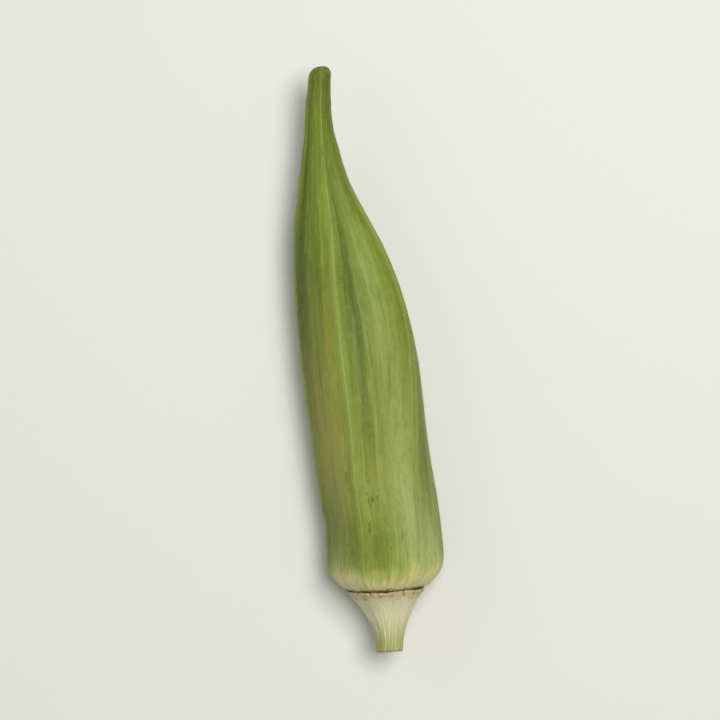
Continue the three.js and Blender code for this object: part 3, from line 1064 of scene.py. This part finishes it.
def skin_ribs(paint, streak, colour):
    """Lighter crests, partly the ribs' own paler green and partly a painted highlight, faint at the
    shoulder and again towards the tip.
    """
    near = paint.between(paint.attribute("rib"), *RIDGE_NEAR)
    ridge = paint.math("MULTIPLY", near, paint.between(streak, *RIDGE_STREAK))
    fresh = paint.math("ADD", paint.between(paint.along, *RIDGE_RISE), RIDGE_LEAST)
    fresh = paint.math("SUBTRACT", fresh, paint.between(paint.along, *RIDGE_FALL))
    return paint.mix(paint.math("MULTIPLY", ridge, fresh), colour, RIB_GREEN_AND_HIGHLIGHT)


def skin_marks(paint, streak, colour):
    """Tanned patches, scuffs, pale dots where hairs stood, and dark specks."""
    tan = paint.math("MULTIPLY", paint.attribute("tan"), paint.between(streak, *TAN_STREAK))
    colour = paint.mix(tan, colour, TAN)
    scuff = paint.plus(paint.noise("scuff"), paint.attribute("scuffs"), SCUFF_STRENGTH)
    colour = paint.tint(colour, scuff, "scuff")
    colour = paint.mix(paint.spots(*DOTS), colour, DOWN_DOT)
    stipple = paint.plus(paint.noise("stipple"), paint.attribute("specks"), STIPPLE_STRENGTH)
    colour = paint.tint(colour, stipple, "stipple")
    return paint.mix(paint.spots(*SPECKS), colour, SPECK)


def skin_scars(paint, colour):
    """The brown line that the cap left round the shoulder, and the small scar at the very tip."""
    rough = paint.noise("scar")
    colour = paint.tint(colour, paint.plus(paint.along, rough, SCAR_WANDER), "scar")
    flat = paint.stretch(1.0, 0.0)
    from_axis = paint.node("ShaderNodeVectorMath", {0: flat}, operation="LENGTH").outputs["Value"]
    return paint.tint(colour, paint.plus(from_axis, rough, TIP_SCAR_WANDER), "tip_scar")


def skin_material():
    """The pod's skin: green, streaked lengthwise, lighter on the ribs, partly a painted highlight, with
    painted shade in its valleys and patches, tanned and speckled.
    """
    paint = PlantPaint("pod_skin", SKIN_NOISES, SKIN_TINTS)
    shifted = paint.wandering(SKIN_WANDER)
    streak = paint.noise("streak")
    colour = skin_ground(paint, shifted)
    colour = paint.tint(colour, streak, "streak")
    colour = skin_shoulder(paint, shifted, colour)
    colour = paint.tint(colour, paint.noise("line"), "line")
    # Painted shade: the deep patches darken the colour further.
    shade = paint.math("MULTIPLY", paint.attribute("deeper_green_and_shade"), DEEP_SHADE)
    colour = paint.mix(shade, colour, DEEP_AND_SHADE_TINT, "MULTIPLY")
    colour = skin_ribs(paint, streak, colour)
    colour = skin_marks(paint, streak, colour)
    colour = skin_scars(paint, colour)
    height = paint.math("MULTIPLY", paint.noise("grain"), SKIN_BUMP_SHARES[0])
    height = paint.plus(height, paint.noise("pores"), SKIN_BUMP_SHARES[1])
    paint.shader.inputs["Specular IOR Level"].default_value = SKIN_SPECULAR
    wear = paint.noise("wear")
    return paint.finish(colour, wear, SKIN_ROUGHNESS, height, SKIN_BUMP, SKIN_FLESH)


def cap_cut(paint, colour):
    """The stalk's cut end over the colour: pale pith, a darker ring round it, and a fine grain."""
    reach = paint.attribute("reach")
    flesh = paint.tint(CUT_FLESH, reach, "pith")
    flesh = paint.tint(flesh, paint.noise("grain"), "grain")
    ring = paint.math("MULTIPLY", paint.between(reach, *RING_RISE), paint.between(reach, *RING_FALL))
    flesh = paint.mix(ring, flesh, CUT_RING)
    inside = paint.between(reach, *CUT_WITHIN)
    cut = paint.math("MULTIPLY", paint.between(paint.along, *CUT_FROM), inside)
    return paint.mix(cut, colour, flesh)


def cap_material():
    """Cream and fibrous, tan at the ragged lip, greener on the stalk, with a pale cut end."""
    paint = PlantPaint("stem_cap", CAP_NOISES, CAP_TINTS)
    shifted = paint.wandering(CAP_WANDER)
    share = paint.math("DIVIDE", paint.math("ADD", shifted, CAP_START), CAP_LENGTH + CAP_START)
    fibre = paint.noise("fibre")
    thread = paint.noise("thread")
    fleck = paint.math("ADD", paint.noise("fleck"), paint.between(shifted, *NEAR_LIP))
    colour = paint.tint(paint.ramp(share, CAP_ALONG), fibre, "fibre")
    colour = paint.tint(colour, thread, "thread")
    colour = paint.tint(colour, fleck, "fleck")
    colour = cap_cut(paint, colour)
    height = paint.math("MULTIPLY", thread, CAP_BUMP_SHARES[0])
    height = paint.plus(height, fleck, CAP_BUMP_SHARES[1])
    return paint.finish(colour, fibre, CAP_ROUGHNESS, height, CAP_BUMP, CAP_FLESH)


build_camera()
build_light()
build_floor()
skin_world, skin_normals, skin_along, skin_rib, pod_shift = build_skin(skin_material())
cap_world, cap_normals, cap_weight = build_cap(cap_material(), pod_shift)
skin_weight = (HAIRS_OFF_RIBS + skin_rib) * smooth_step(skin_along, *POD_HAIRS_FROM)
down_material = shaded_material("down", DOWN_SHADES, DOWN_ROUGHNESS)
grow_hairs(POD_DOWN, down_material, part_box("pod"), skin_world, skin_normals, skin_weight)
grow_hairs(CAP_DOWN, down_material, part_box("stem_cap"), cap_world, cap_normals, cap_weight)
shred_material = shaded_material("shred", SHRED_SHADES, SHRED_ROUGHNESS)
shoulder_shreds(shred_material, skin_world, skin_normals, skin_along[:, 0])

scene = bpy.context.scene
scene.view_settings.view_transform = "Standard"
scene.view_settings.look = "None"
scene.view_settings.exposure = 0.0
